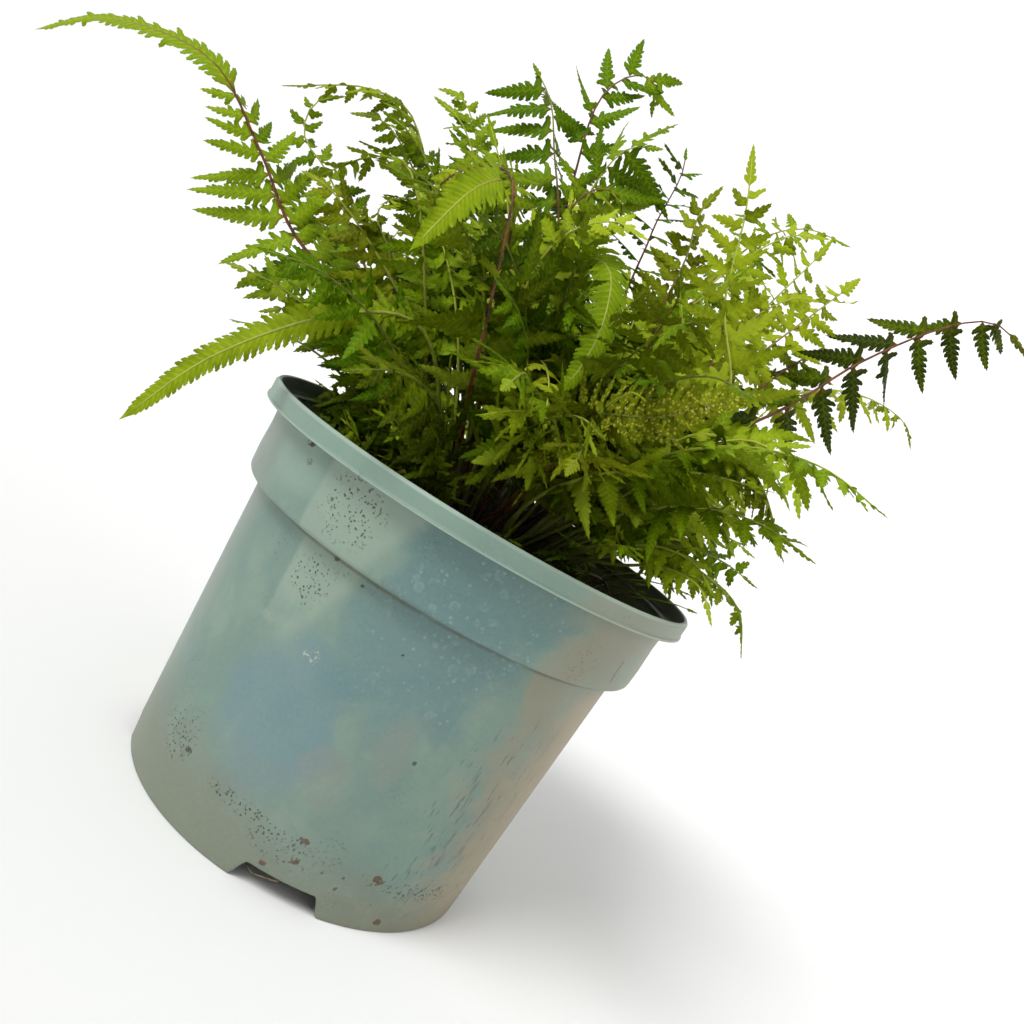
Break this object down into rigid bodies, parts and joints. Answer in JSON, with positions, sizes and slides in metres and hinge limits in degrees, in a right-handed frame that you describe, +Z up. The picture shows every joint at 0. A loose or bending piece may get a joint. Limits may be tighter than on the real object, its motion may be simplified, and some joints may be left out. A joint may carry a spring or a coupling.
{
  "type": "potted fern",
  "caption": "Lady fern in a tapered plastic nursery pot with a stepped cuff, an outward lip and a notched foot; arching fronds of small leaflets rise from a crown set in dark soil.",
  "frame": {"origin": "centre of the flat seat under the pot, on the surface the pot stands on", "axes": "+Z up along the pot's axis, +Y away from the viewer through the back notch, +X to the viewer's right"},
  "size_m": [0.3576, 0.317, 0.3091],
  "materials": {
    "pot_plastic": "satin",
    "soil": "matte",
    "rootstock": "matte",
    "leaf": "satin"
  },
  "bodies": {
    "root": {"pot": "pot_plastic", "soil": "soil", "crown": "rootstock", "frond_01": "leaf", "frond_02": "leaf", "frond_03": "leaf", "frond_04": "leaf", "frond_05": "leaf", "frond_06": "leaf", "frond_07": "leaf", "frond_08": "leaf", "frond_09": "leaf", "frond_10": "leaf", "frond_11": "leaf", "frond_12": "leaf", "frond_13": "leaf", "frond_14": "leaf", "frond_15": "leaf", "frond_16": "leaf", "frond_17": "leaf", "frond_18": "leaf", "frond_19": "leaf", "frond_20": "leaf", "frond_21": "leaf", "frond_22": "leaf", "frond_23": "leaf", "frond_24": "leaf", "frond_25": "leaf", "frond_26": "leaf", "frond_27": "leaf", "frond_28": "leaf", "frond_29": "leaf", "frond_30": "leaf", "frond_31": "leaf", "frond_32": "leaf", "frond_33": "leaf", "frond_34": "leaf", "frond_35": "leaf", "frond_36": "leaf", "frond_37": "leaf", "frond_38": "leaf", "frond_39": "leaf", "frond_40": "leaf", "frond_41": "leaf", "frond_42": "leaf", "frond_43": "leaf", "frond_44": "leaf", "frond_45": "leaf", "frond_46": "leaf", "frond_47": "leaf", "frond_48": "leaf", "frond_49": "leaf", "frond_50": "leaf", "frond_51": "leaf", "frond_52": "leaf", "frond_53": "leaf", "frond_54": "leaf"}
  },
  "joints": []
}
